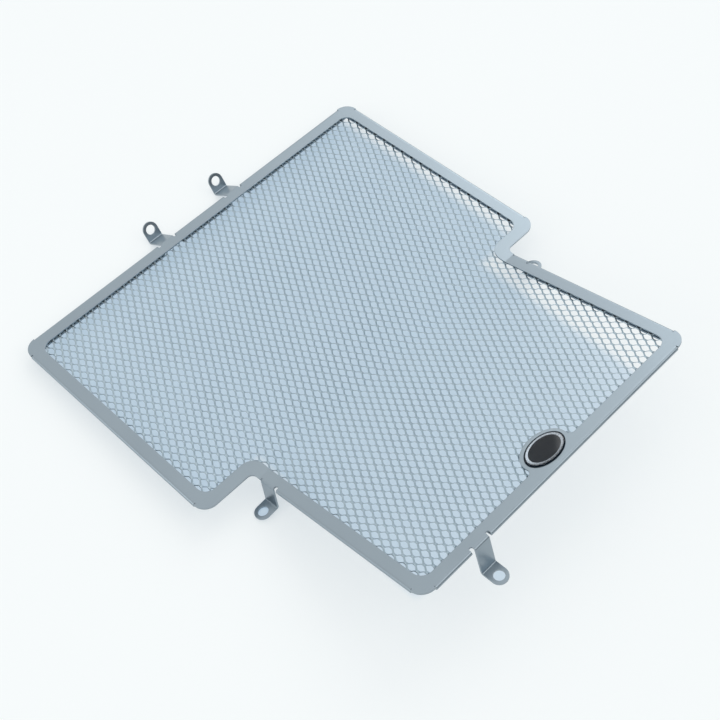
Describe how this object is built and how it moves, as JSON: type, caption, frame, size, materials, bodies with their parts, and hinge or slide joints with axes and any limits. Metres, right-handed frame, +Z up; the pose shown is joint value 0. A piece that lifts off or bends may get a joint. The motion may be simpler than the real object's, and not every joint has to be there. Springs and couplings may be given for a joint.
{
  "type": "motorcycle radiator guard",
  "caption": "Folded aluminium radiator guard for a motorcycle, with a hemmed frame, an expanded mesh, bent mounting tabs with round eyelets, and a plain oval badge.",
  "frame": {"origin": "on the ground under the middle of the box of the guard as it lies face up on its tabs", "axes": "+Z up, +Y towards the edge with two tabs, +X to the right seen from the front face"},
  "size_m": [0.33, 0.399, 0.0553],
  "materials": {
    "frame": "satin, titanium grey",
    "mesh": "satin, light bluish grey",
    "label": "dark printed label, plain",
    "dome": "clear resin dome"
  },
  "bodies": {
    "root": {"frame": "frame", "mesh": "mesh", "badge_label": "label", "badge_dome": "dome"}
  },
  "joints": []
}
